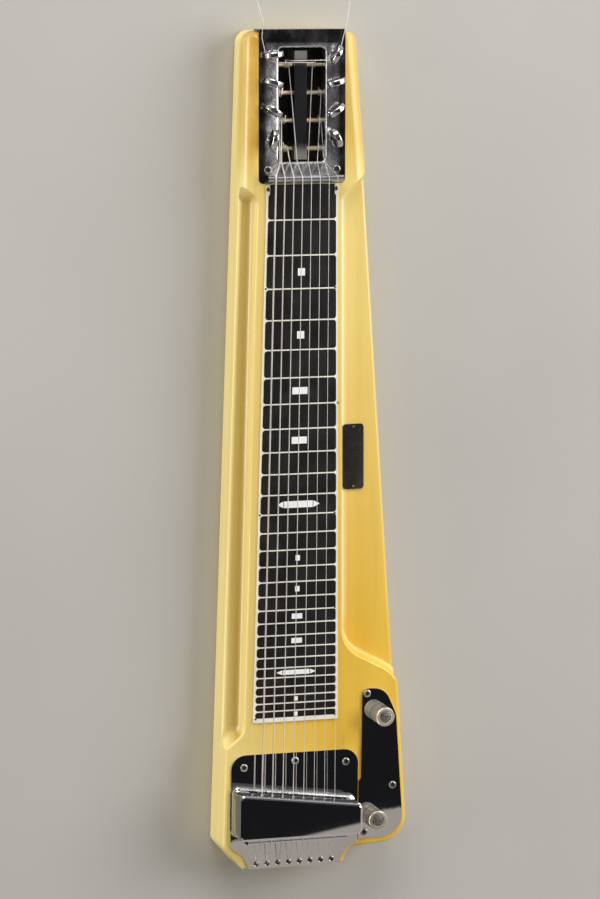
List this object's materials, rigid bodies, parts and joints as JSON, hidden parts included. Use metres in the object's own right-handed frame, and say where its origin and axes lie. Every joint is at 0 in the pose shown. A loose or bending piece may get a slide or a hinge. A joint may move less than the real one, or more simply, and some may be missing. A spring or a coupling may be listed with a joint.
{
  "type": "lap steel guitar",
  "caption": "Lap steel guitar with a wedge-shaped solid wood body, side steps, worm-geared tuners in a stamped pan, covered pickup and two knobs.",
  "frame": {"origin": "on the flat back, under the middle of the strings, half way between the nut and the bridge", "axes": "+Y towards the head along the strings, +Z out of the playing face, +X towards the controls"},
  "size_m": [0.1675, 0.7622, 0.0692],
  "materials": {
    "lacquered_wood": "amber gloss lacquer over pale ash",
    "chrome": "polished plate",
    "nickel": "nickel plated",
    "brass": "plain",
    "string_wire": "drawn and wound wire",
    "black_paint": "semi-gloss",
    "dark_metal": "dark and bare",
    "bobbin": "moulded",
    "tinned": "tinned",
    "waxed_paper": "waxed"
  },
  "bodies": {
    "instrument": {"body": "lacquered_wood", "fretboard": "black_paint", "tuner_pan": "chrome", "centre_bar": "chrome", "tuner_strip_right": "tinned", "tuner_strip_left": "tinned", "nut": "chrome", "bridge_plate": "chrome", "control_plate": "chrome", "pickup_housing": "chrome", "pickup_cover": "chrome", "pickup_coil": "bobbin", "bridge": "tinned", "volume_pot": "tinned", "tone_pot": "tinned", "output_jack": "chrome", "capacitor": "waxed_paper", "badge": "dark_metal", "bridge_plate_screw_1": "nickel", "control_plate_screw_1": "nickel", "bridge_plate_screw_2": "nickel", "control_plate_screw_2": "nickel", "bridge_plate_screw_3": "nickel", "control_plate_screw_3": "nickel", "pan_screw_1": "nickel", "pan_screw_2": "nickel", "string_1": "string_wire", "string_2": "string_wire", "string_3": "string_wire", "string_4": "string_wire", "string_5": "string_wire", "string_6": "string_wire", "string_7": "string_wire", "string_8": "string_wire"},
    "left_worm_button_1": {"left_button_1": "chrome"},
    "left_geared_post_1": {"left_post_1": "brass", "left_gear_1": "brass"},
    "left_worm_button_2": {"left_button_2": "chrome"},
    "left_geared_post_2": {"left_post_2": "brass", "left_gear_2": "brass"},
    "left_worm_button_3": {"left_button_3": "chrome"},
    "left_geared_post_3": {"left_post_3": "brass", "left_gear_3": "brass"},
    "left_worm_button_4": {"left_button_4": "chrome"},
    "left_geared_post_4": {"left_post_4": "brass", "left_gear_4": "brass"},
    "right_worm_button_1": {"right_button_1": "chrome"},
    "right_geared_post_1": {"right_post_1": "brass", "right_gear_1": "brass"},
    "right_worm_button_2": {"right_button_2": "chrome"},
    "right_geared_post_2": {"right_post_2": "brass", "right_gear_2": "brass"},
    "right_worm_button_3": {"right_button_3": "chrome"},
    "right_geared_post_3": {"right_post_3": "brass", "right_gear_3": "brass"},
    "right_worm_button_4": {"right_button_4": "chrome"},
    "right_geared_post_4": {"right_post_4": "brass", "right_gear_4": "brass"},
    "volume_knob_on_shaft": {"volume_knob": "nickel"},
    "tone_knob_on_shaft": {"tone_knob": "nickel"}
  },
  "joints": [
    {"name": "left_button_1_turn", "type": "hinge", "parent": "instrument", "child": "left_worm_button_1", "pos_m": [-0.0277, 0.32263, 0.03999], "axis": [0, 0.0356, 0.9994], "continuous": true},
    {"name": "left_post_1_turn", "type": "hinge", "parent": "instrument", "child": "left_geared_post_1", "pos_m": [-0.015, 0.31326, 0.02971], "axis": [1, 0, 0], "continuous": true},
    {"name": "left_button_2_turn", "type": "hinge", "parent": "instrument", "child": "left_worm_button_2", "pos_m": [-0.0277, 0.34621, 0.03915], "axis": [0, 0.0356, 0.9994], "continuous": true},
    {"name": "left_post_2_turn", "type": "hinge", "parent": "instrument", "child": "left_geared_post_2", "pos_m": [-0.015, 0.33684, 0.02887], "axis": [1, 0, 0], "continuous": true},
    {"name": "left_button_3_turn", "type": "hinge", "parent": "instrument", "child": "left_worm_button_3", "pos_m": [-0.0277, 0.36979, 0.03831], "axis": [0, 0.0356, 0.9994], "continuous": true},
    {"name": "left_post_3_turn", "type": "hinge", "parent": "instrument", "child": "left_geared_post_3", "pos_m": [-0.015, 0.36042, 0.02803], "axis": [1, 0, 0], "continuous": true},
    {"name": "left_button_4_turn", "type": "hinge", "parent": "instrument", "child": "left_worm_button_4", "pos_m": [-0.0277, 0.39337, 0.03747], "axis": [0, 0.0356, 0.9994], "continuous": true},
    {"name": "left_post_4_turn", "type": "hinge", "parent": "instrument", "child": "left_geared_post_4", "pos_m": [-0.015, 0.384, 0.02719], "axis": [1, 0, 0], "continuous": true},
    {"name": "right_button_1_turn", "type": "hinge", "parent": "instrument", "child": "right_worm_button_1", "pos_m": [0.0277, 0.32263, 0.03999], "axis": [0, 0.0356, 0.9994], "continuous": true},
    {"name": "right_post_1_turn", "type": "hinge", "parent": "instrument", "child": "right_geared_post_1", "pos_m": [0.015, 0.31326, 0.02971], "axis": [1, 0, 0], "continuous": true},
    {"name": "right_button_2_turn", "type": "hinge", "parent": "instrument", "child": "right_worm_button_2", "pos_m": [0.0277, 0.34621, 0.03915], "axis": [0, 0.0356, 0.9994], "continuous": true},
    {"name": "right_post_2_turn", "type": "hinge", "parent": "instrument", "child": "right_geared_post_2", "pos_m": [0.015, 0.33684, 0.02887], "axis": [1, 0, 0], "continuous": true},
    {"name": "right_button_3_turn", "type": "hinge", "parent": "instrument", "child": "right_worm_button_3", "pos_m": [0.0277, 0.36979, 0.03831], "axis": [0, 0.0356, 0.9994], "continuous": true},
    {"name": "right_post_3_turn", "type": "hinge", "parent": "instrument", "child": "right_geared_post_3", "pos_m": [0.015, 0.36042, 0.02803], "axis": [1, 0, 0], "continuous": true},
    {"name": "right_button_4_turn", "type": "hinge", "parent": "instrument", "child": "right_worm_button_4", "pos_m": [0.0277, 0.39337, 0.03747], "axis": [0, 0.0356, 0.9994], "continuous": true},
    {"name": "right_post_4_turn", "type": "hinge", "parent": "instrument", "child": "right_geared_post_4", "pos_m": [0.015, 0.384, 0.02719], "axis": [1, 0, 0], "continuous": true},
    {"name": "volume_turn", "type": "hinge", "parent": "instrument", "child": "volume_knob_on_shaft", "pos_m": [0.0767, -0.17935, 0.0427], "axis": [0, 0, 1], "range_deg": [-150, 150]},
    {"name": "tone_turn", "type": "hinge", "parent": "instrument", "child": "tone_knob_on_shaft", "pos_m": [0.0713, -0.27125, 0.0427], "axis": [0, 0, 1], "range_deg": [-150, 150]}
  ],
  "couplings": [
    {"joint": "left_post_1_turn", "follows": "left_button_1_turn", "ratio": -0.071429},
    {"joint": "left_post_2_turn", "follows": "left_button_2_turn", "ratio": -0.071429},
    {"joint": "left_post_3_turn", "follows": "left_button_3_turn", "ratio": -0.071429},
    {"joint": "left_post_4_turn", "follows": "left_button_4_turn", "ratio": -0.071429},
    {"joint": "right_post_1_turn", "follows": "right_button_1_turn", "ratio": -0.071429},
    {"joint": "right_post_2_turn", "follows": "right_button_2_turn", "ratio": -0.071429},
    {"joint": "right_post_3_turn", "follows": "right_button_3_turn", "ratio": -0.071429},
    {"joint": "right_post_4_turn", "follows": "right_button_4_turn", "ratio": -0.071429}
  ]
}
